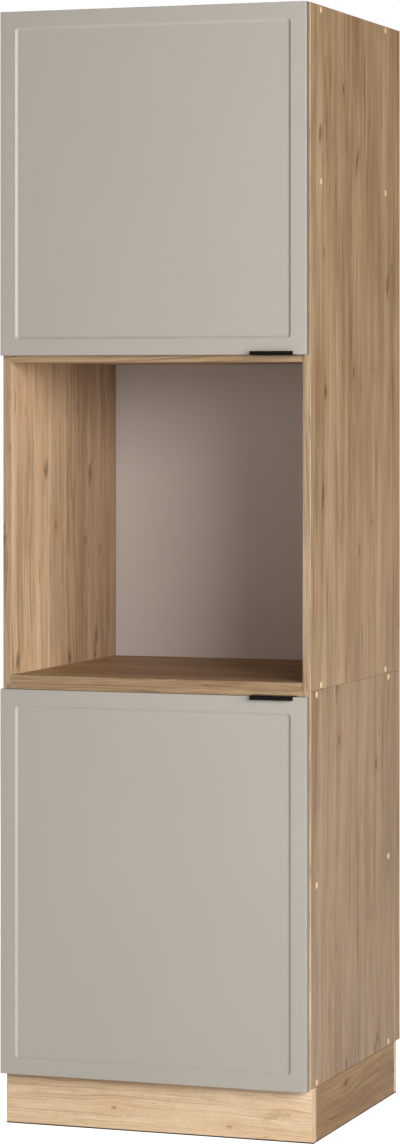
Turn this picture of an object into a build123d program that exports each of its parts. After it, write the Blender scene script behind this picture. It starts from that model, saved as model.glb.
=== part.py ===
from build123d import *
import math
import os

# Oven housing unit in millimetres: a lower unit on a plinth, and an upper unit with an open oven niche.
# +X is to the right, +Y to the rear, +Z up. While a piece is drawn, Y = 0 is the plane of the carcass's
# front edges. write() then moves it, so that the origin is on the floor in the middle of the object.

# Overall sizes
cabinet_width = 600.0
carcass_depth = 570.0
plinth_height = 100.0
lower_side_height = 720.0
upper_side_height = 1246.0
niche_height = 580.0

# Boards
board = 16.0
band = 2.0
band_round = 1.5
eased_edge = 0.8
lower_shelf_above_plinth = 366.0
upper_shelf_below_top = 321.0

# Back panels, which stand in grooves
back_thickness = 3.0
back_inset = 17.0
groove_depth = 8.0
groove_play = 0.1
back_play = 0.5

# Plinth
plinth_front_inset = 17.0
plinth_rear_inset = 23.0
seal_height = 2.5
seal_rib_width = 2.0
seal_rib_height = 5.0
seal_rib_play = 0.2
glue_block = 40.0
glue_block_lift = 15.0

# Doors
door_thickness = 16.0
door_gap = 3.0
door_side_reveal = 2.0
door_back_ease = 1.0
door_front_round = 1.2
upper_door_overlap = 13.0
lower_door_overlap = 7.0
lower_door_drop = 2.0
frame_width = 29.5
bevel_width = 4.7
recess_depth = 2.5
recess_corner = 3.0

# Edge handles
handle_length = 82.0
handle_from_edge = 23.0
handle_wall = 1.6
handle_lip = 8.0
handle_reach = 10.0
handle_plate = 20.0
handle_round = 1.0
handle_screw_from_end = 16.0
handle_screw_drop = 12.0

# Hinges: a cup in the door, an arm on the side, and one pin between them
hinge_from_end = 100.0
cup_radius = 17.5
cup_play = 0.1
cup_wall = 0.9
front_skin = 2.0
flange_thickness = 1.2
flange_rim = 0.8
ear_radius = 5.0
ear_chamfer = 2.0
ear_spacing = 48.0
ear_offset = 6.0
pin_radius = 1.25
pin_play = 0.05
pin_above_cup_floor = 3.5
pin_from_cup_rim = 4.3
pin_length = 18.0
pin_end_gap = 0.4
swing_clearance = 0.6
arm_thickness = 2.0
arm_neck_width = 8.0
arm_width = 16.0
arm_rear = 62.0
arm_clearance = 1.4
eye_radius = 2.1
arm_bend = 2.0
plate_base = 2.0
plate_rib = 5.8
plate_rib_play = 0.2
plate_setback = 37.0
plate_hole_spacing = 32.0
plate_wing = 7.0
plate_length = 36.0

# Small fasteners and fittings, which have flats where the real ones are round
screw_flats = 6
fitting_flats = 8
cap_flats = 12
screw_cover = 3.0
carcass_screw_length = 50.0
carcass_screw_radius = 3.2
carcass_screw_head = 5.0
cap_radius = 6.0
cap_thickness = 0.8
lower_screws_from_front = 35.5
lower_screws_from_rear = 78.0
upper_screws_from_front = 62.0
upper_screws_from_rear = 97.0
dowel_radius = 4.0
dowel_length = 30.0
dowel_in_face = 10.0
ceiling_dowel_inset = 110.0
cam_radius = 7.5
cam_skin = 3.5
cam_from_end = 24.0
cam_bolt_radius = 2.5
cam_bolt_collar = 3.5
cam_bolt_in_face = 11.0
cam_inset = 60.0
connector_from_side = 64.0
connector_from_front = 80.0
connector_from_rear = 100.0
bumper_radius = 4.0
bumper_from_edge = 7.0
bumper_from_end = 20.0
bumper_clearance = 0.4
wall_angle_leg = 40.0
wall_angle_thickness = 2.0
wall_angle_width = 20.0
wall_angle_from_side = 84.0
wall_hole_radius = 3.25
wall_hole_drop = 24.0

# Levels and planes worked out from the sizes above
half_width = cabinet_width / 2
inner_half = half_width - board
seam_z = plinth_height + lower_side_height
top_z = seam_z + upper_side_height
niche_floor_z = seam_z + board
niche_ceiling_z = niche_floor_z + niche_height
lower_shelf_mid = plinth_height + lower_shelf_above_plinth
upper_shelf_mid = top_z - upper_shelf_below_top
back_rear_y = carcass_depth - back_inset
back_front_y = back_rear_y - back_thickness
plinth_front_y = plinth_front_inset
plinth_rear_y = carcass_depth - plinth_rear_inset
door_back_y = -door_gap
door_front_y = -door_gap - door_thickness
door_left_x = -half_width + door_side_reveal
door_right_x = half_width - door_side_reveal
upper_door_z = (niche_ceiling_z + upper_door_overlap, top_z)
lower_door_z = (plinth_height - lower_door_drop, seam_z - board + lower_door_overlap)
origin_y = (carcass_depth + door_front_y - handle_reach) / 2

# The cup leaves a skin of the door behind it, and the pin lies a little above the cup's floor. The pin
# is as far from the door's edge as the swing allows: the door's eased rear corner clears the carcass.
cup_depth = door_thickness - recess_depth - front_skin
pin_from_back = cup_depth - pin_above_cup_floor
corner_reach = pin_from_back + door_gap - swing_clearance
pin_x = door_left_x + math.sqrt(corner_reach**2 - (pin_from_back - door_back_ease) ** 2)
pin_y = door_back_y - pin_from_back
cup_x = pin_x + cup_radius - pin_from_cup_rim
ear_x = cup_x + ear_offset
hinge_heights = {
    "upper": (upper_door_z[0] + hinge_from_end, upper_door_z[1] - hinge_from_end),
    "lower": (lower_door_z[0] + hinge_from_end, lower_door_z[1] - hinge_from_end),
}


def write(node, shape):
    """One sub-part, moved so that the origin is in the middle of the whole object's footprint."""
    solids = shape if isinstance(shape, list) else shape.solids()
    moved = [Pos(0, -origin_y, 0) * solid for solid in solids]
    export_step(moved[0] if len(moved) == 1 else Compound(children=moved), f"parts/{node}.step")


def block(x, y, z):
    """A box from its low and high faces along X, Y and Z."""
    spans = (x, y, z)
    centre = [(low + high) / 2 for low, high in spans]
    size = [high - low for low, high in spans]
    return Pos(*centre) * Box(*size)


def span(first, second):
    return (min(first, second), max(first, second))


def without(piece, others):
    """The piece with the room of the others cut out of it."""
    for other in others:
        piece -= other
    return piece


def rod(start, direction, radius, length):
    """A round rod from start along direction."""
    return Plane(origin=start, z_dir=direction) * extrude(Circle(radius), length)


def flat_rod(start, direction, radius, length, flats):
    """A rod with flats in place of its round, from start along direction."""
    return Plane(origin=start, z_dir=direction) * extrude(RegularPolygon(radius, flats, False), length)


def countersunk_screw(start, direction, shank, length, head):
    """A screw whose flat head is level with start."""
    cone = extrude(RegularPolygon(head, screw_flats, False), head - shank, taper=45)
    shaft = extrude(RegularPolygon(shank, screw_flats, False), length)
    return Plane(origin=start, z_dir=direction) * (cone + shaft)


def flat_screw(start, direction, shank, length, head, head_height):
    """A screw whose head bears on start and stands out behind it."""
    top = flat_rod(start, direction, head, -head_height, screw_flats)
    return top + flat_rod(start, direction, shank, length, screw_flats)


# Carcass screws: a flat head level with the side, and a shank that reaches into the board that meets it.
# The same screws cut their own holes.
lower_screw_levels = (plinth_height + board / 2, lower_shelf_mid, seam_z - board / 2)
upper_screw_levels = (seam_z + board / 2, upper_shelf_mid, top_z - board / 2)
lower_screw_rows = (lower_screws_from_front, carcass_depth - lower_screws_from_rear)
upper_screw_rows = (upper_screws_from_front, carcass_depth - upper_screws_from_rear)
lower_screw_places = [(y, z) for z in lower_screw_levels for y in lower_screw_rows]
upper_screw_places = [(y, z) for z in upper_screw_levels for y in upper_screw_rows]


def carcass_screw(side, y, z):
    place = ((side * half_width, y, z), (-side, 0, 0))
    return countersunk_screw(*place, carcass_screw_radius, carcass_screw_length, carcass_screw_head)


def screw_cap(side, y, z):
    return flat_rod((side * half_width, y, z), (side, 0, 0), cap_radius, cap_thickness, cap_flats)


# Dowels of the niche ceiling: one end in the side's face, the rest in the end of the board.
ceiling_mid = niche_ceiling_z + board / 2


def ceiling_dowel(side, y):
    start = (side * (inner_half + dowel_in_face), y, ceiling_mid)
    return flat_rod(start, (-side, 0, 0), dowel_radius, dowel_length, screw_flats)


ceiling_dowels = [
    ceiling_dowel(side, y)
    for side in (-1, 1)
    for y in (ceiling_dowel_inset, back_front_y - ceiling_dowel_inset)
]

# Cam fittings of the niche ceiling: a bolt in the side's inner face reaches a cam in the board's top.
cam_places = [(side, y) for side in (-1, 1) for y in (cam_inset, back_front_y - cam_inset)]
ceiling_top_z = niche_ceiling_z + board


def cam_bolt(side, y):
    """A bolt with a thin shank, which reaches from the side into the cam, and a thick collar between."""
    face, inward = Vector(side * inner_half, y, ceiling_mid), Vector(-side, 0, 0)
    length = cam_bolt_in_face + cam_from_end
    shank = flat_rod(face - inward * cam_bolt_in_face, inward, cam_bolt_radius, length, screw_flats)
    return shank + flat_rod(face, inward, cam_bolt_collar, cam_from_end - cam_radius, screw_flats)


def cam_bolt_hole(side, y):
    mouth = (side * inner_half, y, ceiling_mid)
    return flat_rod(mouth, (-side, 0, 0), cam_bolt_collar, cam_from_end, screw_flats)


def cam(side, y):
    """A round nut let into the board's top, with a driver slot, over the end of its bolt."""
    x = side * (inner_half - cam_from_end)
    body = flat_rod((x, y, ceiling_top_z), (0, 0, -1), cam_radius, board - cam_skin, fitting_flats)
    slot = block((x - 5.0, x + 5.0), (y - 0.8, y + 0.8), (ceiling_top_z - 2.0, ceiling_top_z))
    return body, slot


def cam_body(side, y):
    body, slot = cam(side, y)
    return body - slot - cam_bolt_hole(side, y)


# Connector screws: up through the lower unit's top board into the niche floor.
connector_places = [
    (side * (inner_half - connector_from_side), y)
    for side in (-1, 1)
    for y in (connector_from_front, carcass_depth - connector_from_rear)
]


def connector(x, y):
    return flat_screw((x, y, seam_z - board), (0, 0, 1), 2.0, 2 * board - screw_cover, 4.0, 2.4)


# Hinges. Each is drawn at the height z of the middle of its pin.
side_face_x = -inner_half
rib_top_x = side_face_x + plate_base + plate_rib
web_x = rib_top_x + plate_rib_play + arm_thickness / 2
arm_reach = pin_from_back + flange_thickness + arm_clearance + arm_thickness / 2
arm_screw_rows = (plate_setback - 14.0, plate_setback + 12.0)


def plate_screws(z):
    return [
        countersunk_screw(
            (side_face_x + plate_base, plate_setback, z + offset),
            (-1, 0, 0),
            2.0,
            plate_base + board - screw_cover,
            3.8,
        )
        for offset in (-plate_hole_spacing / 2, plate_hole_spacing / 2)
    ]


def arm_screws(z):
    start_x = web_x + arm_thickness / 2
    length = arm_thickness + plate_rib * 0.7
    return [flat_screw((start_x, y, z), (-1, 0, 0), 2.4, length, 4.0, 2.0) for y in arm_screw_rows]


def ear_screws(z):
    return [
        countersunk_screw(
            (ear_x, door_back_y + flange_thickness, z + offset),
            (0, -1, 0),
            1.75,
            flange_thickness + cup_depth,
            2.8,
        )
        for offset in (-ear_spacing / 2, ear_spacing / 2)
    ]


def hinge_pin(z):
    return rod((pin_x, pin_y, z - pin_length / 2), (0, 0, 1), pin_radius, pin_length)


def mounting_plate(z):
    """Cross-shaped plate: a flat base with two wings, and a rib that the arm sits over."""
    wing_tip = plate_hole_spacing / 2 + plate_wing
    wings = Pos(plate_setback, 0) * Rectangle(2 * plate_wing, 2 * wing_tip)
    cross = Pos(plate_setback, 0) * Rectangle(plate_length, 11.0)
    outline = chamfer(wings.vertices(), plate_wing / 2) + cross
    facing_in = Plane(origin=(side_face_x, 0, z), x_dir=(0, 1, 0), z_dir=(1, 0, 0))
    rib_half = arm_width / 2 - arm_thickness - 0.6
    rib_y = (plate_setback - 20.0, arm_rear - 4.0)
    rib = block((side_face_x, rib_top_x), rib_y, (z - rib_half, z + rib_half))
    rib = chamfer(rib.edges().filter_by(Axis.Z).group_by(Axis.X)[-1], 1.5)
    return without(extrude(facing_in * outline, plate_base) + rib, plate_screws(z) + arm_screws(z))


def hinge_arm(z):
    """Pressed arm: an eye round the pin, a cranked neck, and a channel over the mounting plate."""
    level = Plane.XY.offset(z)
    knee_x = pin_x + arm_reach
    knee = FilletPolyline((pin_x, pin_y), (knee_x, pin_y), (knee_x, 3.0), radius=arm_bend)
    neck_line = knee + Polyline((knee_x, 3.0), (web_x, 10.0), (web_x, arm_rear))
    neck = extrude(level * trace(neck_line, line_width=arm_thickness), arm_neck_width / 2, both=True)
    web_face = (web_x - arm_thickness / 2, web_x + arm_thickness / 2)
    web = block(web_face, (12.0, arm_rear), (z - arm_width / 2, z + arm_width / 2))
    arm = neck + chamfer(web.edges().filter_by(Axis.X).group_by(Axis.Y)[0], 3.0)
    for side in (-1, 1):
        edge = z + side * arm_width / 2
        cheek_x = (side_face_x + plate_base + 0.4, web_face[1])
        cheek = block(cheek_x, (20.0, arm_rear), span(edge, edge - side * arm_thickness))
        upright = cheek.edges().filter_by(Axis.Z)
        arm += chamfer(upright.sort_by(lambda line: line.center().X + line.center().Y)[0], 5.0)
    eye_place = ((pin_x, pin_y, z - arm_neck_width / 2), (0, 0, 1))
    arm += flat_rod(*eye_place, eye_radius, arm_neck_width, fitting_flats)
    arm -= rod(*eye_place, pin_radius + pin_play, arm_neck_width)
    return without(arm, arm_screws(z))


def hinge_cup(z):
    """Cast cup: a round pot, a flange with two screw ears, and two bosses that grip the pin."""
    facing_door = Plane(origin=(0, door_back_y, z), x_dir=(1, 0, 0), z_dir=(0, -1, 0))
    pot_place = facing_door * Pos(cup_x, 0, 0)
    outer_radius = cup_radius - cup_play
    pot = pot_place * extrude(Circle(outer_radius), cup_depth)
    rim_radius = cup_radius + flange_rim
    ears = Pos(ear_x, 0) * Rectangle(2 * ear_radius, ear_spacing + 2 * ear_radius)
    rim = Pos(cup_x, 0) * Rectangle(2 * rim_radius, 2 * rim_radius)
    outline = chamfer(ears.vertices(), ear_chamfer) + chamfer(rim.vertices(), rim_radius / 2)
    flange = extrude(facing_door * make_hull(outline.edges()), -flange_thickness)
    mouth_y = door_back_y + flange_thickness
    floor_y = door_back_y - cup_depth + cup_wall
    hollow = rod((cup_x, mouth_y, z), (0, -1, 0), outer_radius - cup_wall, mouth_y - floor_y)
    cup = pot + flange - hollow
    boss_y = (floor_y - cup_wall / 2, pin_y + pin_radius + 1.4)
    for side in (-1, 1):
        heights = span(z + side * (arm_neck_width / 2 + pin_end_gap), z + side * (pin_length / 2 + 0.6))
        boss = block((pin_x - 3.0, pin_x + 3.0), boss_y, heights)
        boss = chamfer(boss.edges().filter_by(Axis.Z).group_by(Axis.Y)[-1], 1.5)
        cup += boss & (pot_place * extrude(Circle(outer_radius - cup_wall / 2), cup_depth))
    cup -= flat_rod((pin_x, pin_y, z - pin_length / 2), (0, 0, 1), pin_radius, pin_length, screw_flats)
    return without(cup, ear_screws(z))


# The wall angles: under the top board, against the back panel, with a hole for the screw into the wall.
upper_top_z = top_z - board
wall_angle_x = inner_half - wall_angle_from_side
wall_hole_z = upper_top_z - wall_hole_drop
wall_angle_screws = [
    flat_screw(
        (side * wall_angle_x, back_front_y - wall_angle_leg * 0.6, upper_top_z - wall_angle_thickness),
        (0, 0, 1),
        1.9,
        wall_angle_thickness + board - screw_cover,
        3.6,
        2.0,
    )
    for side in (-1, 1)
]


def wall_angle(side):
    """One bent strip: a leg under the top board, and a leg down the back with the wall screw's hole."""
    leg, wall = wall_angle_leg, wall_angle_thickness
    outline = Polyline((0, 0), (leg, 0), (leg, wall), (wall, wall), (wall, leg), (0, leg), close=True)
    section = make_face(outline)
    section = chamfer(section.vertices().sort_by(lambda v: v.X + v.Y)[0], wall / 2)
    x = side * wall_angle_x
    place = Plane(origin=(x, back_front_y, upper_top_z), x_dir=(0, -1, 0), z_dir=(1, 0, 0))
    strip = extrude(place * section, wall_angle_width / 2, both=True)
    strip = without(strip, wall_angle_screws)
    return strip - rod((x, back_front_y, wall_hole_z), (0, -1, 0), wall_hole_radius, wall)


# Carcass


def board_span(side):
    """The low and high X of the side board on side -1 (left) or 1 (right)."""
    return span(side * half_width, side * inner_half)


def drilled(panel, places, sides=(-1, 1)):
    """A board with the holes of the carcass screws that reach it."""
    for side in sides:
        for y, z in places:
            panel -= carcass_screw(side, y, z)
    return panel


def side_panel(side, low_z, high_z, places):
    """A side: eased at its outer ends, grooved for the back, and drilled for its screws."""
    panel = block(board_span(side), (band, carcass_depth), (low_z, high_z))
    outer = panel.edges().filter_by(Axis.Y).sort_by(Axis.X)
    panel = chamfer(outer[-2:] if side > 0 else outer[:2], eased_edge)
    groove_x = span(side * inner_half, side * (inner_half + groove_depth))
    panel -= block(groove_x, (back_front_y - groove_play, back_rear_y + groove_play), (low_z, high_z))
    return drilled(panel, places, (side,))


def level_panel(low_z, rear_y):
    return block((-inner_half, inner_half), (band, rear_y), (low_z, low_z + board))


def back_groove(low_z, high_z):
    groove_y = (back_front_y - groove_play, back_rear_y + groove_play)
    return block((-inner_half, inner_half), groove_y, (low_z, high_z))


def back_panel(low_z, high_z):
    into = groove_depth - back_play
    reach = inner_half + into
    return block((-reach, reach), (back_front_y, back_rear_y), (low_z - into, high_z + into))


def side_bands(low_z, high_z):
    """Front edge bands of the sides, their long outer edges rounded."""
    strips = [block(board_span(side), (0, band), (low_z, high_z)) for side in (-1, 1)]
    return [fillet(strip.edges().filter_by(Axis.Z).group_by(Axis.Y)[0], band_round) for strip in strips]


def level_bands(levels):
    """Front edge bands of the level boards, their long outer edges eased."""
    strips = [block((-inner_half, inner_half), (0, band), (z, z + board)) for z in levels]
    return [chamfer(strip.edges().filter_by(Axis.X).group_by(Axis.Y)[0], eased_edge) for strip in strips]


lower_shelf_z = lower_shelf_mid - board / 2
upper_shelf_z = upper_shelf_mid - board / 2
lower_top_z = seam_z - board
connectors = [connector(x, y) for x, y in connector_places]


def lower_bottom():
    panel = level_panel(plinth_height, carcass_depth)
    panel -= back_groove(plinth_height + board - groove_depth, plinth_height + board)
    return drilled(panel, lower_screw_places)


def lower_top():
    panel = level_panel(lower_top_z, carcass_depth) - back_groove(lower_top_z, lower_top_z + groove_depth)
    return drilled(without(panel, connectors), lower_screw_places)


def niche_floor():
    panel = level_panel(seam_z, carcass_depth) - back_groove(niche_floor_z - groove_depth, niche_floor_z)
    return drilled(without(panel, connectors), upper_screw_places)


def niche_ceiling():
    """A fixed shelf on dowels and cams, whose fittings are out of sight in its top."""
    panel = without(level_panel(niche_ceiling_z, back_front_y), ceiling_dowels)
    for side, y in cam_places:
        panel = panel - cam_bolt_hole(side, y) - cam(side, y)[0]
    return panel


def upper_top():
    panel = level_panel(upper_top_z, carcass_depth) - back_groove(upper_top_z, upper_top_z + groove_depth)
    return drilled(without(panel, wall_angle_screws), upper_screw_places)


def unit_side(unit, side):
    """A side with the holes of its hinge plates, and the upper one's of the niche ceiling."""
    upper = unit == "upper"
    low_z, high_z = (seam_z, top_z) if upper else (plinth_height, seam_z)
    panel = side_panel(side, low_z, high_z, upper_screw_places if upper else lower_screw_places)
    if upper:
        panel = without(panel, ceiling_dowels + [cam_bolt(*place) for place in cam_places])
    if side < 0:
        for z in hinge_heights[unit]:
            panel = without(panel, plate_screws(z))
    return panel


def upper_back():
    """The back of the niche and the upper bays, with the wall screws' holes behind the wall angles."""
    panel = back_panel(niche_floor_z, upper_top_z)
    for side in (-1, 1):
        hole_start = (side * wall_angle_x, back_front_y, wall_hole_z)
        panel -= rod(hole_start, (0, 1, 0), wall_hole_radius, back_thickness)
    return panel


# Plinth: a closed frame of four boards on dark seal strips, each with a rib in a groove.
plinth_spans = {
    "front": ((-half_width, half_width), (plinth_front_y, plinth_front_y + board)),
    "rear": ((-half_width, half_width), (plinth_rear_y - board, plinth_rear_y)),
    "left": ((-half_width, -inner_half), (plinth_front_y + board, plinth_rear_y - board)),
    "right": ((inner_half, half_width), (plinth_front_y + board, plinth_rear_y - board)),
}


def seal_rib(x, y, play):
    """The rib of a seal strip, which stops short of the strip's ends, or with play its groove."""
    rib_half = seal_rib_width / 2 + play
    stop = band - play
    height = (seal_height - 1.0, seal_height + seal_rib_height + play)
    if x[1] - x[0] > y[1] - y[0]:
        middle = (y[0] + y[1]) / 2
        return block((x[0] + stop, x[1] - stop), (middle - rib_half, middle + rib_half), height)
    middle = (x[0] + x[1]) / 2
    return block((middle - rib_half, middle + rib_half), (y[0] + stop, y[1] - stop), height)


def plinth_end_blanks():
    y, z = plinth_spans["front"][1], (seal_height, plinth_height)
    return [block((-half_width, -half_width + band), y, z), block((half_width - band, half_width), y, z)]


def plinth_end_bands():
    """Bands on the ends of the plinth's front board, each rounded at its outer front edge."""
    left, right = plinth_end_blanks()
    left_edge = left.edges().filter_by(Axis.Z).sort_by(lambda line: line.center().X + line.center().Y)[0]
    right_edge = right.edges().filter_by(Axis.Z).sort_by(lambda line: line.center().Y - line.center().X)[0]
    return [fillet(left_edge, band_round), fillet(right_edge, band_round)]


def plinth_board(name):
    """A plinth board, grooved for its seal and eased along its outer top edge."""
    x, y = plinth_spans[name]
    piece = block(x, y, (seal_height, plinth_height)) - seal_rib(x, y, seal_rib_play)
    outward = {"front": (0, -1), "rear": (0, 1), "left": (-1, 0), "right": (1, 0)}[name]
    along = Axis.X if outward[0] == 0 else Axis.Y
    top_edges = piece.edges().filter_by(along).group_by(Axis.Z)[-1]
    outer = top_edges.sort_by(lambda line: line.center().X * outward[0] + line.center().Y * outward[1])[-1]
    piece = chamfer(outer, eased_edge)
    return without(piece, plinth_end_blanks()) if name == "front" else piece


def corner_block(side, y):
    """A three-sided glue block in a corner of the plinth, standing up to the bottom board."""
    corner = Vector(side * inner_half, y)
    inward = Vector(-side, 0) * glue_block
    along = Vector(0, glue_block if y < carcass_depth / 2 else -glue_block)
    outline = make_face(Polyline(corner, corner + inward, corner + along, close=True))
    return Pos(0, 0, glue_block_lift) * extrude(outline, plinth_height - glue_block_lift)


def plinth_seals():
    return [block(x, y, (0, seal_height)) + seal_rib(x, y, 0) for x, y in plinth_spans.values()]


# Doors and handles. way is 1 where the handle lies on top of its door, and -1 where it is under it.
handle_x = door_right_x - handle_from_edge - handle_length / 2


def handle_screws(edge_z, way):
    z = edge_z - way * handle_screw_drop
    half_spacing = handle_length / 2 - handle_screw_from_end
    length = handle_wall + cup_depth
    return [
        countersunk_screw((x, door_back_y + handle_wall, z), (0, -1, 0), 1.5, length, 2.6)
        for x in (handle_x - half_spacing, handle_x + half_spacing)
    ]


def door(span_z, heights, screws):
    """A door: rounded edges, a bevelled recess in its front, and pockets for the hinge cups behind."""
    low_z, high_z = span_z
    slab = block((door_left_x, door_right_x), (door_front_y, door_back_y), span_z)
    slab = chamfer(slab.edges().group_by(Axis.Y)[-1], door_back_ease)
    slab = fillet(slab.edges().group_by(Axis.Y)[0], door_front_round)
    wide = door_right_x - door_left_x - 2 * frame_width
    high = high_z - low_z - 2 * frame_width
    front = Plane(origin=(0, door_front_y, (low_z + high_z) / 2), x_dir=(1, 0, 0), z_dir=(0, 1, 0))
    outer = front * RectangleRounded(wide, high, recess_corner + bevel_width)
    inner = front * Pos(0, 0, recess_depth)
    inner = inner * RectangleRounded(wide - 2 * bevel_width, high - 2 * bevel_width, recess_corner)
    slab -= loft([outer.face(), inner.face()], ruled=True)
    for z in heights:
        slab -= rod((cup_x, door_back_y, z), (0, -1, 0), cup_radius, cup_depth)
        slab = without(slab, ear_screws(z))
    return without(slab, screws)


def edge_handle(edge_z, way):
    """A bent strip: a plate behind the door, a web over its edge, and a lip in front of it to pull."""
    front_y = door_front_y - handle_reach
    rear_y = door_back_y + handle_wall
    outline = Polyline(
        (door_back_y, -handle_plate),
        (door_back_y, 0),
        (front_y + handle_wall, 0),
        (front_y + handle_wall, handle_wall - handle_lip),
        (front_y, handle_wall - handle_lip),
        (front_y, handle_wall),
        (rear_y, handle_wall),
        (rear_y, -handle_plate),
        close=True,
    )
    section = make_face(outline)
    bends = section.vertices().filter_by(lambda v: abs(v.Y - handle_wall) < 1e-6)
    section = fillet(bends, handle_round)
    if way < 0:
        section = mirror(section, about=Plane.XZ)
    place = Plane(origin=(handle_x, 0, edge_z), x_dir=(0, 1, 0), z_dir=(1, 0, 0))
    strip = extrude(place * section, handle_length / 2, both=True)
    return without(strip, handle_screws(edge_z, way))


def bumpers(span_z):
    low_z, high_z = span_z
    x = door_right_x - bumper_from_edge
    return [
        flat_rod((x, door_back_y, z), (0, 1, 0), bumper_radius, door_gap - bumper_clearance, fitting_flats)
        for z in (low_z + bumper_from_end, high_z - bumper_from_end)
    ]


os.makedirs("parts", exist_ok=True)

for name in plinth_spans:
    write(f"plinth_{name}", plinth_board(name))
write("plinth_end_bands", plinth_end_bands())
write("plinth_seals", plinth_seals())
block_rows = (plinth_front_y + board, plinth_rear_y - board)
write("plinth_glue_blocks", [corner_block(side, y) for side in (-1, 1) for y in block_rows])

for unit in ("lower", "upper"):
    write(f"{unit}_side_left", unit_side(unit, -1))
    write(f"{unit}_side_right", unit_side(unit, 1))
write("lower_side_bands", side_bands(plinth_height, seam_z))
write("upper_side_bands", side_bands(seam_z, top_z))
write("lower_level_bands", level_bands((plinth_height, lower_shelf_z, lower_top_z)))
write("upper_level_bands", level_bands((seam_z, niche_ceiling_z, upper_shelf_z, upper_top_z)))
write("lower_bottom", lower_bottom())
write("lower_shelf", drilled(level_panel(lower_shelf_z, back_front_y), lower_screw_places))
write("lower_top", lower_top())
write("lower_back", back_panel(plinth_height + board, lower_top_z))
write("niche_floor", niche_floor())
write("niche_ceiling", niche_ceiling())
write("upper_shelf", drilled(level_panel(upper_shelf_z, back_front_y), upper_screw_places))
write("upper_top", upper_top())
write("upper_back", upper_back())

screw_places = [(side, y, z) for side in (-1, 1) for y, z in lower_screw_places + upper_screw_places]
write("carcass_screws", [carcass_screw(*place) for place in screw_places])
write("screw_caps", [screw_cap(*place) for place in screw_places])
write("ceiling_dowels", ceiling_dowels)
write("ceiling_cams", [cam_body(*place) for place in cam_places])
write("ceiling_cam_bolts", [cam_bolt(*place) for place in cam_places])
write("unit_connectors", connectors)
write("wall_angles", [wall_angle(side) for side in (-1, 1)])
write("wall_angle_screws", wall_angle_screws)

for unit, heights in hinge_heights.items():
    write(f"{unit}_hinge_plates", [mounting_plate(z) for z in heights])
    write(f"{unit}_hinge_arms", [hinge_arm(z) for z in heights])
    write(f"{unit}_hinge_cups", [hinge_cup(z) for z in heights])
    write(f"{unit}_hinge_pins", [hinge_pin(z) for z in heights])
    write(f"{unit}_ear_screws", [screw for z in heights for screw in ear_screws(z)])
    write(f"{unit}_plate_screws", [screw for z in heights for screw in plate_screws(z)])
    write(f"{unit}_arm_screws", [screw for z in heights for screw in arm_screws(z)])

for unit, span_z, edge_z, way in (
    ("upper", upper_door_z, upper_door_z[0], -1),
    ("lower", lower_door_z, lower_door_z[1], 1),
):
    screws = handle_screws(edge_z, way)
    write(f"{unit}_door", door(span_z, hinge_heights[unit], screws))
    write(f"{unit}_handle", edge_handle(edge_z, way))
    write(f"{unit}_handle_screws", screws)
    write(f"{unit}_bumpers", bumpers(span_z))
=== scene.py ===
import functools
import math

import bmesh
import bpy
import numpy as np
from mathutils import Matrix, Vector
from mathutils.geometry import convex_hull_2d


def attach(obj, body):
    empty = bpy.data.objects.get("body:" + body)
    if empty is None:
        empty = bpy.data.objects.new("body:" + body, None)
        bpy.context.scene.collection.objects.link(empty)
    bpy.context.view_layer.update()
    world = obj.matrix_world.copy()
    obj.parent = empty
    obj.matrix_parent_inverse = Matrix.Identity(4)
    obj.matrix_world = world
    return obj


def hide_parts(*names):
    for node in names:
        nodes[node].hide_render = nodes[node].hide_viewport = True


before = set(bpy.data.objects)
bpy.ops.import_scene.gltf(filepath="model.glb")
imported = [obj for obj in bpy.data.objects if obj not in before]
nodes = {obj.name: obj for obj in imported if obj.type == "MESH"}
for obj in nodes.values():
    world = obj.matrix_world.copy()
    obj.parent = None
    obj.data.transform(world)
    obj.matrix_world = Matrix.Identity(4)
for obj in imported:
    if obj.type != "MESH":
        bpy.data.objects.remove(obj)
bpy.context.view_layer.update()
print("stage: frame loaded,", len(nodes), "CAD nodes")

# camera: level, right of centre, its frame shifted down to hold the whole cabinet
cameraView = {"lens": 116.30, "place": (2.3352, -6.6354, 1.3544), "turn": 19.445, "shiftY": -0.1543, "clipEnd": 60}
cameraData = bpy.data.cameras.new("viewCamera")
cameraData.lens = cameraView["lens"]
cameraData.shift_y = cameraView["shiftY"]
cameraData.clip_end = cameraView["clipEnd"]
viewCamera = bpy.data.objects.new("viewCamera", cameraData)
viewCamera.location = cameraView["place"]
viewCamera.rotation_euler = (math.radians(90), 0, math.radians(cameraView["turn"]))
scene = bpy.context.scene
scene.collection.objects.link(viewCamera)
scene.camera = viewCamera
scene.view_settings.view_transform = "Standard"


def colour(hexText):
    # an sRGB hex text as linear red, green, blue and full alpha
    parts = np.array([int(hexText[i:i + 2], 16) for i in (0, 2, 4)]) / 255
    linear = np.where(parts <= 0.04045, parts / 12.92, ((parts + 0.055) / 1.055) ** 2.4)
    return (*linear.tolist(), 1.0)


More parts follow.
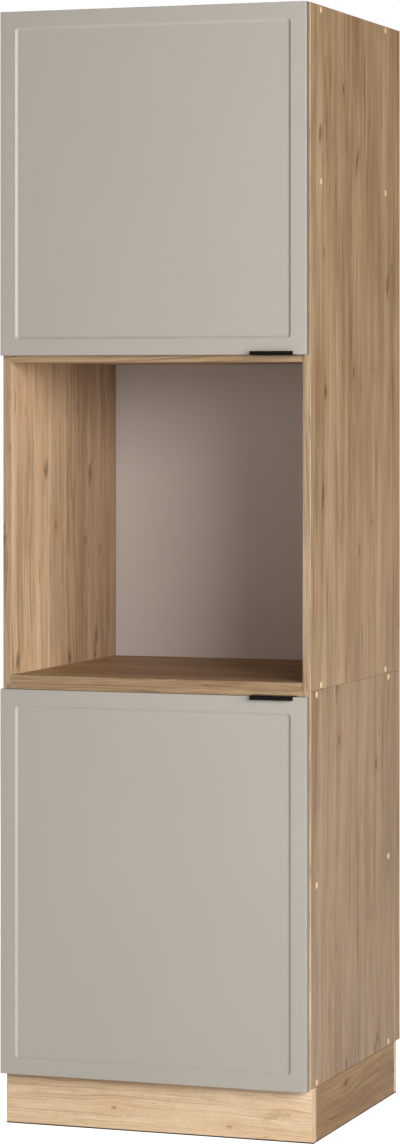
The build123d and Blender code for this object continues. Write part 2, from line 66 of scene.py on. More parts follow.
def addNode(tree, kind, *inputs, stops=(), **settings):
    # one node: its kind, with what it does after a colon, and its inputs, in a row or as a dictionary by name, each a
    # value, a hex text, a socket or the node that feeds it; then a ramp's stops and other settings
    kind, _, choice = kind.partition(":")
    node = tree.nodes.new("ShaderNode" + kind)
    if choice:
        settings[{"Mix": "data_type", "Mapping": "vector_type"}.get(kind, "operation")] = choice
    for name, value in settings.items():
        setattr(node, name, value)
    for _ in stops[2:]:
        node.color_ramp.elements.new(0.5)
    for number, (place, text) in enumerate(stops):
        element = node.color_ramp.elements[number]
        element.position, element.color = place, colour(text)
    if inputs and isinstance(inputs[0], dict):
        pairs = [(node.inputs[name], value) for name, value in inputs[0].items()]
    else:
        pairs = zip([socket for socket in node.inputs if socket.enabled], inputs)
    for socket, value in pairs:
        if isinstance(value, bpy.types.Node):
            value = next(output for output in value.outputs if output.enabled)
        if isinstance(value, bpy.types.NodeSocket):
            tree.links.new(value, socket)
        else:
            socket.default_value = colour(value) if isinstance(value, str) else value
    return node


def newMaterial(name):
    # an empty material, the call that adds a node to it, and its texture coordinates
    material = bpy.data.materials.new(name)
    material.use_nodes = True
    material.node_tree.nodes.clear()
    put = functools.partial(addNode, material.node_tree)
    return material, put, put("TexCoord")


def boardAxes(put, place, axes):
    # the object's coordinates told in a board's own order: along the grain, across it, through the board
    parts = put("SeparateXYZ", place.outputs["Object"])
    return put("CombineXYZ", {i: parts.outputs[letter.upper()] for i, letter in enumerate(axes)})


def shade(put, tone, rough, height, bump, **others):
    # what closes a material: a bump of this strength and depth in metres, the principled shader and the output
    strength, distance = bump
    bump = put("Bump", {"Height": height, "Strength": strength, "Distance": distance})
    inputs = {"Base Color": tone, "Roughness": rough, "Normal": bump}
    inputs.update({key.replace("_", " "): value for key, value in others.items()})
    put("OutputMaterial", {"Surface": put("BsdfPrincipled", inputs)})


# Rustic oak print under melamine, pressed with a fine pore: matt, warm, with darker checks, streaks and small knots.
# Fibres and pores are about twice as coarse as real ones, so that they show.
oak = {
    # each noise: its cells' length and width in metres, its detail, the detail's roughness, its lean from the grain
    "streak": (0.50, 0.038, 4.0, 0.6, 0.0), "ribbon": (0.34, 0.014, 3.0, 0.55, 0.0),
    "grain": (0.19, 0.0056, 4.0, 0.6, 0.0), "fibre": (0.075, 0.0017, 3.0, 0.6, 0.0),
    "cloud": (0.42, 0.11, 1.0, 0.5, 0.0), "mottle": (0.05, 0.016, 3.0, 0.6, -0.05),
    "warmth": (0.55, 0.024, 3.0, 0.5, 0.0), "greyness": (0.42, 0.040, 3.0, 0.5, 0.02),
    "pore": (0.012, 0.0010, 1.0, 0.5, 0.0), "line": (0.50, 0.0026, 1.0, 0.5, 0.0),
    "stroke": (0.022, 0.0046, 3.0, 0.65, 0.20), "gate": (0.24, 0.030, 1.0, 0.5, 0.0),
    "check": (0.080, 0.0032, 2.0, 0.5, 0.0),
    # laid over the ground in turn: a noise, where it starts and is full, its strength, its tone
    "veils": (("warmth", 0.42, 0.74, "redShare", "red"), ("greyness", 0.50, 0.74, "greyShare", "grey"),
              ("pore", 0.58, 0.74, "poreShare", "dark"), ("line", 0.61, 0.70, "lineShare", "check")),
    # the grain's slow, middling and quick waves: their length, their width, how far they push it
    "waves": ((0.70, 0.19, 0.034), (0.20, 0.050, 0.008), (0.055, 0.013, 0.0011)),
    "cellJitter": 0.9, "cellFade": 0.3,
    "knotAspect": 0.55, "knotField": 0.016, "knotPush": -0.75, "knotRagged": 0.018, "knotVeil": 0.9,
    "heartCore": 0.15, "heartDark": 0.8, "ringStep": 0.0042, "ringEdge": (0.2, 1.0),
    "flame": (0.036, 0.0125, 1.0), "flameLean": 0.20, "flameTorn": 2.2, "flameEdge": (2.0, 1.35),
    "gateEdge": (0.55, 0.64), "checkEdge": (0.60, 0.70), "toneSpread": 0.095, "toneLight": 0.9,
    "roughness": 0.52, "roughSpread": 0.14, "checkDeep": -0.6, "fibreDeep": 0.5, "bump": (0.2, 0.0006), "gloss": 0.4,
}
# what differs between the carcass's print and the paler plinth's
oakTones = {
    "light": ("D3B38D", "F3DDBC"), "mid": ("BE9F7A", "E8CCA7"), "dark": ("94724F", "C9A379"),
    "red": ("AD8463", "DEBA92"), "check": ("5C432D", "8A6240"), "knot": ("482F1F", "7A583A"),
    "smudge": ("6F573C", "B3936D"), "grey": ("8E7860", "CDAB82"), "ring": ("8A6746", "B08A62"),
    "knotCell": ((0.27, 0.115), (0.12, 0.052)), "knotSize": (0.0078, 0.0042), "knotShare": (0.45, 0.45),
    "flameCell": ((0.34, 0.19), (0.22, 0.10)), "flameShare": (0.30, 0.4), "flameDark": (0.85, 0.6),
    "ringShare": (0.35, 0.25), "checkShare": (0.85, 0.55), "lineShare": (0.50, 0.42), "greyShare": (0.40, 0.45),
    "redShare": (0.6, 0.6), "poreShare": (0.30, 0.70), "sway": (1.25, 0.8), "contrast": (1.18, 1.0),
    "weights": ({"streak": 0.24, "ribbon": 0.17, "grain": 0.22, "fibre": 0.21, "cloud": 0.14, "mottle": 0.06},
                {"streak": 0.14, "ribbon": 0.10, "grain": 0.14, "fibre": 0.24, "cloud": 0.14, "mottle": 0.14}),
}

# Raw chipboard at the edges that carry no band: pale pressed chips, 2 to 3 mm, some darker, quite rough.
# The tones stand at their places in the ramp; an edge is raw where its normal lies this close to the axis.
chipboard = {"tones": ((0.0, "8A6A48"), (0.3, "BD9C70"), (0.9, "D9BE93")), "chip": 0.0026, "rough": 0.85,
             "steep": 0.9}


def oakPrint(name, plan, seed):
    # plan: the object axes along the grain, across it and through the board; the tone; its brightness and strength of
    # colour, which paint in the light and shade the board stands in; the axes that the raw cut edges face
    axes, toneName, value, saturation, rawSides = plan
    tones = {key: pair[toneName == "plinth"] for key, pair in oakTones.items()}
    material, put, place = newMaterial(name)
    shift = tuple(np.random.default_rng(seed).uniform(-8, 8, 3).tolist())
    spot = put("VectorMath:ADD", boardAxes(put, place, axes), shift)

    def spots(cell, share, aspect):
        # a cell pattern: how far each point is from its cell's middle, and 1 in the cells whose number is high enough
        long, wide = cell
        cells = put("VectorMath:MULTIPLY", spot, (1 / long, 1 / wide, 0))
        middles = put("TexVoronoi", {"Vector": cells, "Scale": 1.0, "Randomness": oak["cellJitter"]},
                      voronoi_dimensions="2D")
        away = put("VectorMath:SUBTRACT", cells, middles.outputs["Position"])
        away = put("VectorMath:MULTIPLY", away, (long * aspect, wide, 0))
        chance = put("SeparateColor", middles.outputs["Color"])
        return away, put("MapRange", chance.outputs[0], share, share + oak["cellFade"])

    # knots, and round each of them a soft field, e^-(r / field)^2, that pushes the grain aside
    away, knotHere = spots(tones["knotCell"], tones["knotShare"], oak["knotAspect"])
    reach = put("VectorMath:LENGTH", away)
    near = put("Math:POWER", put("Math:DIVIDE", reach, oak["knotField"]), 2.0)
    near = put("Math:EXPONENT", put("Math:MULTIPLY", near, -1.0))
    near = put("Math:MULTIPLY", near, knotHere)

    # grain lines bend round the knots and wander along the board
    push = put("Math:MULTIPLY", near, oak["knotPush"])
    push = put("VectorMath:SCALE", away, push)
    push = put("VectorMath:MULTIPLY", push, (0, 1, 0))
    bent = put("VectorMath:ADD", spot, push)
    for length, width, reachAcross in oak["waves"]:
        wave = put("Mapping:TEXTURE", {"Vector": bent, "Scale": (length, width, width)})
        wave = put("TexNoise", {"Vector": wave, "Scale": 1.0, "Detail": 1.0})
        sway = reachAcross * tones["sway"]
        side = put("Math:MULTIPLY_ADD", wave, sway, -sway / 2)
        bent = put("VectorMath:ADD", bent, put("CombineXYZ", {1: side}))

    def noise(key):
        # noise stretched along the grain and turned by its lean
        length, width, detail, roughness, lean = oak[key]
        scale, turn = (length, width, width), (0, 0, lean)
        vector = put("Mapping:TEXTURE", {"Vector": bent, "Rotation": turn, "Scale": scale})
        return put("TexNoise", {"Vector": vector, "Scale": 1.0, "Detail": detail, "Roughness": roughness})

    # the ground: weighted noises, coarse to fine, through a ramp of three tones about the middle value
    layers = {key: noise(key) for key in tones["weights"]}
    total = 0.5 - 0.5 * sum(tones["weights"].values())
    for key, layer in layers.items():
        total = put("Math:MULTIPLY_ADD", layer, tones["weights"][key], total)
    grain, fibres = layers["grain"], layers["fibre"]
    spread = oak["toneSpread"] / tones["contrast"]
    stops = [(0.5 - spread, tones["dark"]), (0.5, tones["mid"]), (0.5 + oak["toneLight"] * spread, tones["light"])]
    ground = put("ValToRGB", total, stops=stops)

    # veils of warmer and of greyer wood, pores as short fine dashes, long dark lines that come and go
    for key, start, full, share, tone in oak["veils"]:
        veil = put("MapRange", noise(key), start, full, 0.0, tones[share])
        ground = put("Mix:RGBA", veil, ground, tones[tone])

    # flames: leaning smudges about 70 mm long, torn into strokes
    lean, flameHere = spots(tones["flameCell"], tones["flameShare"], 1.0)
    turn = (0, 0, oak["flameLean"])
    lean = put("Mapping:TEXTURE", {"Vector": lean, "Rotation": turn, "Scale": oak["flame"]})
    strokes, lean = noise("stroke"), put("VectorMath:LENGTH", lean)
    flames = put("Math:MULTIPLY_ADD", strokes, oak["flameTorn"], lean)
    flames = put("MapRange", flames, *oak["flameEdge"], 0.0, tones["flameDark"])
    flames = put("Math:MULTIPLY", flames, flameHere)

    # checks: thin dark splits, in the stretches that a slower noise lets through
    gate, checks = (put("MapRange", noise(key), *oak[key + "Edge"]) for key in ("gate", "check"))
    for share in (gate, tones["checkShare"]):
        checks = put("Math:MULTIPLY", checks, share)

    # a knot: a red veil round it, a few rings, a ragged dark heart
    ragged = put("Math:MULTIPLY_ADD", grain, oak["knotRagged"], -oak["knotRagged"] / 2)
    ragged = put("Math:ADD", reach, ragged)
    veil = put("Math:MULTIPLY", put("Math:MULTIPLY", near, grain), oak["knotVeil"])
    rings = put("Math:MULTIPLY", ragged, 2 * math.pi / oak["ringStep"])
    rings = put("Math:SINE", rings)
    rings = put("MapRange", rings, *oak["ringEdge"], 0.0, tones["ringShare"])
    rings = put("Math:MULTIPLY", rings, near)
    size = tones["knotSize"]
    heart = put("MapRange", ragged, size, size * oak["heartCore"], 0.0, oak["heartDark"])
    heart = put("Math:MULTIPLY", heart, knotHere)
    for marks, tone in ((flames, "smudge"), (checks, "check"), (veil, "red"), (rings, "ring"), (heart, "knot")):
        ground = put("Mix:RGBA", marks, ground, tones[tone])
    # painted light and shade: the board's brightness and strength of colour make it lighter where it stands in light
    # and darker where it stands in shade
    finish = put("HueSaturation", {"Saturation": saturation, "Value": value, "Color": ground})

    height = put("Math:MULTIPLY", fibres, oak["fibreDeep"])
    height = put("Math:MULTIPLY_ADD", checks, oak["checkDeep"], height)
    rough = put("Math:MULTIPLY_ADD", fibres, oak["roughSpread"], oak["roughness"] - oak["roughSpread"] / 2)
    if rawSides:
        facing = put("SeparateXYZ", place.outputs["Normal"])
        cut = 0.0
        for letter in rawSides:
            steep = put("Math:ABSOLUTE", facing.outputs[letter.upper()])
            steep = put("Math:GREATER_THAN", steep, chipboard["steep"])
            cut = put("Math:MAXIMUM", cut, steep)
        flakes = put("TexVoronoi", {"Vector": place.outputs["Object"], "Scale": 1 / chipboard["chip"]})
        flakes = put("SeparateColor", flakes.outputs["Color"])
        finish = put("Mix:RGBA", cut, finish, put("ValToRGB", flakes, stops=chipboard["tones"]))
        rough = put("Mix", cut, rough, chipboard["rough"])
        height = put("Mix", cut, height, flakes)
    shade(put, finish, rough, height, oak["bump"], Specular_IOR_Level=oak["gloss"])
    return material


def dress(names, material):
    # CAD nodes keep their mesh and get this material in every slot
    for name in names:
        mesh = nodes[name].data
        mesh.materials.clear()
        mesh.materials.append(material)


# one print per board, so that no two neighbours repeat and so that each board can carry its own painted light and
# shade
levelBoard = ("xyz", "carcass", 1.0, 0.95, "xy")
# Each board's brightness and strength of colour are set to how bright it looks where it stands, so they paint light
# and shade into the print: the outer right sides and the plinth's sides are painted darker, as the shaded side; the
# niche floor and the niche's upper bands are painted darker, as shade in the niche; the niche's left wall is painted
# lighter, as lit through the opening.
oakBoards = {
    "lower_side_left": ("zyx", "carcass", 1.0, 0.98, "yz"), "lower_side_right": ("zyx", "carcass", 0.66, 1.04, "yz"),
    "upper_side_left": ("zyx", "carcass", 1.20, 0.95, "yz"), "upper_side_right": ("zyx", "carcass", 0.75, 1.03, "yz"),
    "lower_bottom": levelBoard, "lower_shelf": levelBoard, "lower_top": levelBoard,
    "niche_floor": ("xyz", "carcass", 0.84, 1.12, "xy"),
    "niche_ceiling": levelBoard, "upper_shelf": levelBoard, "upper_top": levelBoard,
    "plinth_front": ("xzy", "plinth", 1.10, 0.98, "z"), "plinth_rear": ("xzy", "plinth", 0.95, 1.0, "z"),
    "plinth_left": ("yzx", "carcass", 0.70, 1.10, "z"), "plinth_right": ("yzx", "carcass", 0.61, 1.30, "z"),
    "plinth_end_bands": ("zyx", "plinth", 0.92, 1.0, ""),
    "lower_side_bands": ("zxy", "carcass", 1.08, 0.88, ""), "upper_side_bands": ("zxy", "carcass", 0.92, 0.92, ""),
    "lower_level_bands": ("xzy", "carcass", 1.0, 1.0, ""), "upper_level_bands": ("xzy", "carcass", 0.88, 1.0, ""),
}
oakSeeds = {"first": 11, "upper_side_right": 44, "plinth_front": 36}
for number, (name, plan) in enumerate(oakBoards.items()):
    dress([name], oakPrint("oakPrint_" + name, plan, oakSeeds.get(name, oakSeeds["first"] + number)))


# Satin lacquer sprayed on milled fibreboard: even stone grey, a very fine orange peel that softens reflections.
# The straight edges, whose normals lie across Y, are painted a darker, browner tone: painted shade, for the dimmer
# light on the door's edges and the shadow in the gap round the door.
lacquer = {"tones": ("B7AFA5", "BBB4A9"), "edge": "7E766C", "shadedEdgeFrom": (0.25, 0.02), "roughness": 0.42,
           "roughSpread": 0.06, "peel": 0.0011, "cloud": 0.25, "bump": (0.05, 0.0002)}


def satinLacquer():
    material, put, place = newMaterial("satinLacquer")
    peel = put("TexNoise", {"Vector": place.outputs["Object"], "Scale": 1 / lacquer["peel"], "Detail": 1.0})
    cloud = put("TexNoise", {"Vector": place.outputs["Object"], "Scale": 1 / lacquer["cloud"], "Detail": 3.0})
    tone = put("Mix:RGBA", cloud, *lacquer["tones"])
    # painted shade: faces whose normals lie across Y take the darker edge tone, so the edges look shaded
    facing = put("SeparateXYZ", place.outputs["Normal"])
    level = put("Math:ABSOLUTE", facing.outputs["Y"])
    edge = put("MapRange", level, *lacquer["shadedEdgeFrom"])
    tone = put("Mix:RGBA", edge, tone, lacquer["edge"])
    spread = lacquer["roughSpread"]
    rough = put("Math:MULTIPLY_ADD", cloud, spread, lacquer["roughness"] - spread / 2)
    shade(put, tone, rough, peel, lacquer["bump"])
    return material


# Hardboard, 3 mm: its front printed an even lilac grey and smooth, its rear the raw brown face with the mark of
# the wire screen that it was pressed on, about 1.2 mm from wire to wire. The front faces towards -Y.
hardboard = {"front": ("CEC4BE", "C9BFB8"), "raw": ("7A5637", "946B47"), "screen": 0.0012, "cloud": 6.0,
             "wool": 300.0, "woolDeep": 0.05, "wander": 0.3, "roughness": 0.48, "rawRoughness": 0.85,
             "frontNormal": -0.5, "bump": (0.35, 0.0002)}


def greyHardboard():
    material, put, place = newMaterial("greyHardboard")
    where = place.outputs["Object"]
    cloud = put("TexNoise", {"Vector": where, "Scale": hardboard["cloud"], "Detail": 4.0})
    wool = put("TexNoise", {"Vector": where, "Scale": hardboard["wool"], "Detail": 4.0, "Roughness": 0.7})
    front = put("Mix:RGBA", cloud, *hardboard["front"])
    raw = put("Mix:RGBA", wool, *hardboard["raw"])
    wires = {"Vector": where, "Scale": 1 / hardboard["screen"] / math.pi, "Distortion": hardboard["wander"]}
    weave = [put("TexWave", wires, bands_direction=direction).outputs["Fac"] for direction in ("X", "Z")]
    screen = put("Math:MULTIPLY", weave[0], weave[1])
    facing = put("SeparateXYZ", place.outputs["Normal"])
    smooth = put("Math:LESS_THAN", facing.outputs["Y"], hardboard["frontNormal"])
    tone = put("Mix:RGBA", smooth, raw, front)
    rough = put("Mix", smooth, hardboard["rawRoughness"], hardboard["roughness"])
    wool = put("Math:MULTIPLY", wool, hardboard["woolDeep"])
    shade(put, tone, rough, put("Mix", smooth, screen, wool), hardboard["bump"])
    return material


# Metals. Each: two tones, roughness and how much it varies, the sizes of its grain and its clouds in metres.
metals = {
    # pressed steel, nickel-plated and tumbled: warm and bright, with a soft even gloss
    "nickelSteel": (("D9D4CA", "C4BFB6"), 0.26, 0.12, 0.0005, 0.012),
    # cold-formed screws, zinc-plated and passivated: a little blue, a little yellow, finer gloss
    "zincSteel": (("CDD0D2", "C9C4AE"), 0.30, 0.14, 0.0004, 0.006),
    # hot-dip galvanised strip: a spangle of dull and bright crystals 5 mm wide
    "galvanisedStrip": (("BFC3C4", "A3A8AA"), 0.38, 0.25, 0.0005, 0.005),
    # aluminium, etched matt and anodised black: nearly black, a faint brushed line along X
    "blackAnodised": (("1D1C1C", "262524"), 0.42, 0.10, 0.0006, 0.02),
}
# how far the grain is drawn out along X, Y and Z, and its bump
metalGrain = {"brushed": (20.0, 1.0, 1.0), "even": (1.0, 1.0, 1.0), "bump": (0.12, 0.00005)}


def metalFinish(name):
    tones, middle, spread, grainSize, cloudSize = metals[name]
    material, put, place = newMaterial(name)
    where = place.outputs["Object"]
    if name == "galvanisedStrip":
        crystals = put("TexVoronoi", {"Vector": where, "Scale": 1 / cloudSize})
        cloud = put("SeparateColor", crystals.outputs["Color"])
    else:
        cloud = put("TexNoise", {"Vector": where, "Scale": 1 / cloudSize, "Detail": 3.0})
    stretch = metalGrain["brushed" if name == "blackAnodised" else "even"]
    scale = tuple(grainSize * longer for longer in stretch)
    grain = put("Mapping:TEXTURE", {"Vector": where, "Scale": scale})
    grain = put("TexNoise", {"Vector": grain, "Scale": 1.0, "Detail": 2.0})
    rough = put("Math:MULTIPLY_ADD", put("Math:ADD", grain, cloud), spread / 2, middle - spread / 2)
    shade(put, put("Mix:RGBA", cloud, *tones), rough, grain, metalGrain["bump"], Metallic=1.0)
    return material


# Plastics. Each: two tones, roughness, the size of its surface grain in metres, how strongly that shows, how much
# light goes through.
plastics = {
    # moulded polypropylene in a pale oak tone: matt, with a fine spark-eroded grain
    "creamPolypropylene": (("E6C79B", "DDBD90"), 0.45, 0.0004, 0.15, 0.0),
    # extruded soft sealing lip, dark brown rubber: dull, a little streaky along the strip
    "brownSeal": (("2B201A", "3A2C23"), 0.7, 0.0015, 0.3, 0.0),
    # poured clear polyurethane dome: milky, glossy, soft to the eye
    "clearPolyurethane": (("F2F2EE", "E6E6E0"), 0.16, 0.0020, 0.05, 0.85),
}
plasticClouds = {"scale": 60.0, "roughSpread": 0.10, "deep": 0.0001}


def plasticFinish(name):
    tones, middle, grainSize, strong, clear = plastics[name]
    material, put, place = newMaterial(name)
    grain = put("TexNoise", {"Vector": place.outputs["Object"], "Scale": 1 / grainSize, "Detail": 2.0})
    cloud = put("TexNoise", {"Vector": place.outputs["Object"], "Scale": plasticClouds["scale"], "Detail": 2.0})
    spread = plasticClouds["roughSpread"]
    rough = put("Math:MULTIPLY_ADD", grain, spread, middle - spread / 2)
    bump = (strong, plasticClouds["deep"])
    shade(put, put("Mix:RGBA", cloud, *tones), rough, grain, bump, Transmission_Weight=clear)
    return material


# Beech: pinkish cream, straight fine grain, with the short dark flecks of its rays, 2 mm long
beech = {"tones": ((0.35, "CDA273"), (0.62, "E3BF94")), "fleck": "A8774C", "line": (0.08, 0.0012),
         "ray": (0.0022, 0.0005), "flecks": (0.60, 0.72), "fleckShare": 0.7, "roughness": (0.12, 0.58),
         "bump": (0.15, 0.0003)}


def rawBeech(name, axes):
    material, put, place = newMaterial(name)
    board = boardAxes(put, place, axes)
    layers = []
    for length, width in (beech["line"], beech["ray"]):
        vector = put("Mapping:TEXTURE", {"Vector": board, "Scale": (length, width, width)})
        layers.append(put("TexNoise", {"Vector": vector, "Scale": 1.0, "Detail": 2.0}))
    tone = put("ValToRGB", layers[0], stops=beech["tones"])
    flecks = put("MapRange", layers[1], *beech["flecks"], 0.0, beech["fleckShare"])
    tone = put("Mix:RGBA", flecks, tone, beech["fleck"])
    rough = put("Math:MULTIPLY_ADD", layers[0], *beech["roughness"])
    shade(put, tone, rough, layers[0], beech["bump"])
    return material


finishes = {name: metalFinish(name) for name in metals}
finishes.update({name: plasticFinish(name) for name in plastics})
finishes["satinLacquer"] = satinLacquer()
finishes["beechAlongX"] = rawBeech("beechAlongX", "xyz")
dress(["lower_back", "upper_back"], greyHardboard())
dress(["plinth_seals"], finishes["brownSeal"])
dress(["plinth_glue_blocks"], rawBeech("beechAlongZ", "zxy"))
print("stage: materials, with", len(bpy.data.materials), "in all")

# Shapes are worked out in millimetres with Y measured from the carcass's front edges, and go into the shared frame
# when they become meshes. A shape is its points, the point numbers of its faces in a row, and each face's count.
meshPlan = {"frontEdges": 270.5, "doubles": 2e-6, "sharp": 32}


def skin(rings):
    # rings of points, each joined to the next by four-sided faces, the first and the last ring filled
    rows, columns = rings.shape[:2]
    index = np.arange(rows * columns).reshape(rows, columns)
    around = np.hstack([index, index[:, :1]])
    faces = np.stack([around[:-1, :-1], around[:-1, 1:], around[1:, 1:], around[1:, :-1]], -1)
    corners = np.concatenate([faces.ravel(), index[0, ::-1], index[-1]])
    return rings.reshape(-1, 3), corners, np.array([4] * (faces.size // 4) + [columns, columns])


def lofted(lines, levels):
    # flat outlines, each lifted to its own level, as one skin
    depth = np.broadcast_to(np.reshape(levels, (-1, 1, 1)), (*np.shape(lines)[:2], 1))
    return skin(np.concatenate([lines, depth], -1))


def gathered(shapes):
    # several shapes as one, each one's point numbers moved on by the points before it
    starts = np.cumsum([0] + [len(shape[0]) for shape in shapes])
    corners = np.concatenate([shape[1] + start for shape, start in zip(shapes, starts)])
    return np.vstack([shape[0] for shape in shapes]), corners, np.concatenate([shape[2] for shape in shapes])


def angles(sides):
    # equal steps round a circle
    return np.linspace(0, 2 * np.pi, sides, endpoint=False)


def turned(radius, height, sides):
    # a profile turned about Z: x = radius cos a, y = radius sin a, z = height; both may change with the angle a
    radius, height = (np.broadcast_to(np.reshape(values, (len(values), -1)), (len(values), sides))
                      for values in (radius, height))
    return skin(np.stack([radius * np.cos(angles(sides)), radius * np.sin(angles(sides)), height], -1))


def bore(radius, low, high, sides=32):
    # a round tool that cuts a hole
    return turned([radius, radius], [low, high], sides)


def countersink(wide, narrow, deep, end, sides=32):
    # a tool for a screw's hole: its cone from wide at the face to narrow, then straight on
    return turned([wide + 0.08, wide, narrow, narrow], [-0.5, 0, deep, end], sides)


def stood(shape, start, along=(0, 0, 1)):
    # the shape's own Z turned to point along, its zero at start
    along = np.array(along, float)
    across = np.array([0, 0, 1.0]) if abs(along[2]) < 0.5 else np.array([1.0, 0, 0])
    axes = np.array([across, np.cross(along, across), along])
    return shape[0] @ axes + start, shape[1], shape[2]


def placed(shape, places):
    # the same shape at each start, its Z along each direction
    return gathered([stood(shape, *place) for place in places])


def laid(shape, axes, move=(0, 0, 0)):
    # the shape's own first, second and third direction laid along the named axes, then moved
    points = shape[0][:, [axes.index(letter) for letter in "xyz"]]
    return points + move, shape[1], shape[2]


def softCorners(corners, radii, closed=True, steps=5):
    # a line through the corners, each cut by an arc of its own radius r: the arc's middle is r / sin(half the corner)
    # along the corner's bisector, and the arc turns through pi less the corner
    corners = np.array(corners, float)
    radii = np.broadcast_to(np.maximum(radii, 0.02), len(corners))[:, None]
    back, ahead = np.roll(corners, 1, 0) - corners, np.roll(corners, -1, 0) - corners
    back /= np.linalg.norm(back, axis=1, keepdims=True)
    ahead /= np.linalg.norm(ahead, axis=1, keepdims=True)
    half = np.maximum(np.arccos(np.clip((back * ahead).sum(1, keepdims=True), -1, 1)) / 2, 0.05)
    bisector = back + ahead
    bisector /= np.maximum(np.linalg.norm(bisector, axis=1, keepdims=True), 1e-9)
    middle = corners + bisector * radii / np.sin(half)
    start = corners + back * radii / np.tan(half) - middle
    way = -np.sign(back[:, :1] * ahead[:, 1:] - back[:, 1:] * ahead[:, :1])
    turn = way * (np.pi - 2 * half) * np.linspace(0, 1, steps + 1)
    x = start[:, :1] * np.cos(turn) - start[:, 1:] * np.sin(turn)
    y = start[:, :1] * np.sin(turn) + start[:, 1:] * np.cos(turn)
    arcs = middle[:, None] + np.stack([x, y], -1)
    return arcs.reshape(-1, 2) if closed else np.vstack([corners[:1], arcs[1:-1].reshape(-1, 2), corners[-1:]])


def insetLine(outline, by):
    # each point moved inwards along its two edges' normals n1 and n2: by (n1 + n2) / (1 + n1 . n2)
    area = (outline[:, 0] * np.roll(outline[:, 1], -1) - outline[:, 1] * np.roll(outline[:, 0], -1)).sum()
    ahead = np.roll(outline, -1, 0) - outline
    ahead /= np.linalg.norm(ahead, axis=1, keepdims=True)
    behind = np.roll(ahead, 1, 0)
    normals = np.stack([-(ahead + behind)[:, 1], (ahead + behind)[:, 0]], -1) * np.sign(area)
    return outline + by * normals / (1 + (ahead * behind).sum(1, keepdims=True))


def slab(outline, low, high, ease, steps=3):
    # an outline carried from low to high, its rims rounded: inset ease (1 - sin a) at ease (1 - cos a) from the end
    angle = np.linspace(0, np.pi / 2, steps + 1)
    inward, climb = ease * (1 - np.sin(angle)), ease * (1 - np.cos(angle))
    lines = [insetLine(outline, by) for by in np.concatenate([inward, inward[::-1]])]
    return lofted(lines, np.concatenate([low + climb, high - climb[::-1]]))


def strip(line, thickness):
    # the outline of a bent strip: its middle line moved half the thickness to either side along its normals
    along = np.gradient(line, axis=0)
    along /= np.linalg.norm(along, axis=1, keepdims=True)
    side = np.stack([-along[:, 1], along[:, 0]], -1) * thickness / 2
    return np.vstack([line + side, (line - side)[::-1]])


def meshOf(name, shape):
    # the shape as a mesh in metres in the shared frame, its doubles merged and its faces turned outwards
    points, corners, counts = shape
    mesh = bpy.data.meshes.new(name)
    mesh.vertices.add(len(points))
    mesh.vertices.foreach_set("co", ((points - [0, meshPlan["frontEdges"], 0]) / 1000).ravel())
    mesh.loops.add(len(corners))
    mesh.loops.foreach_set("vertex_index", corners.astype(np.int32))
    mesh.polygons.add(len(counts))
    mesh.polygons.foreach_set("loop_start", (np.cumsum(counts) - counts).astype(np.int32))
    mesh.update(calc_edges=True)
    work = bmesh.new()
    work.from_mesh(mesh)
    bmesh.ops.remove_doubles(work, verts=work.verts, dist=meshPlan["doubles"])
    bmesh.ops.recalc_face_normals(work, faces=work.faces)
    work.to_mesh(mesh)
    work.free()
    return mesh


def carved(name, *steps):
    # shapes worked on the first one by exact Boolean: each step is a shape and what it does
    tools = [bpy.data.objects.new(name + "_tool", meshOf(name, shape)) for shape, work in steps]
    for tool, (shape, work) in zip(tools, steps):
        scene.collection.objects.link(tool)
        if tool is not tools[0]:
            change = tools[0].modifiers.new("change", "BOOLEAN")
            change.operation, change.solver, change.object = work, "EXACT", tool
    mesh = bpy.data.meshes.new_from_object(tools[0].evaluated_get(bpy.context.evaluated_depsgraph_get()))
    for tool in tools:
        bpy.data.meshes.remove(tool.data)
    points, corners = np.zeros(len(mesh.vertices) * 3), np.zeros(len(mesh.loops), np.int32)
    counts = np.zeros(len(mesh.polygons), np.int32)
    mesh.vertices.foreach_get("co", points)
    mesh.loops.foreach_get("vertex_index", corners)
    mesh.polygons.foreach_get("loop_total", counts)
    bpy.data.meshes.remove(mesh)
    return points.reshape(-1, 3) * 1000 + [0, meshPlan["frontEdges"], 0], corners, counts


def finishPiece(node, shape, body="carcass", finish="zincSteel"):
    # the piece that stands for a CAD node: smooth between its sharp edges, on its body, with its finish
    piece = bpy.data.objects.new(node + "_piece", meshOf(node + "_piece", shape))
    scene.collection.objects.link(piece)
    piece.data.materials.append(finishes[finish])
    piece.data.shade_smooth()
    piece.data.set_sharp_from_angle(angle=math.radians(meshPlan["sharp"]))
    weights = piece.modifiers.new("flatFacesLead", "WEIGHTED_NORMAL")
    weights.keep_sharp = True
    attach(piece, body)
    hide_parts(node)
    print("piece:", piece.name, len(piece.data.polygons), "faces")


def smoothStep(value):
    # 0 below 0, 1 above 1, and 3 v v - 2 v v v between
    value = np.clip(value, 0, 1)
    return value * value * (3 - 2 * value)


def crossRecess(across, sides, half, reach, soft):
    # 1 inside a cross and 0 outside, softly: there the smaller of |x| and |y| is under the arm's half width, and the
    # larger under its reach
    x, y = abs(across[:, None] * np.cos(angles(sides))), abs(across[:, None] * np.sin(angles(sides)))
    low, high = np.minimum(x, y), np.maximum(x, y)
    return smoothStep((half - low) / soft + 0.5) * smoothStep((reach - high) / soft)


def threadRidge(down, sides, pitch, steep):
    # a ridge that climbs one pitch a turn: 1 - steep |2 p - 1|, p being the part of down / pitch - angle / 2 pi
    phase = (down / pitch - angles(sides) / (2 * np.pi)) % 1
    return np.clip(1 - abs(2 * phase - 1) * steep, 0, 1)


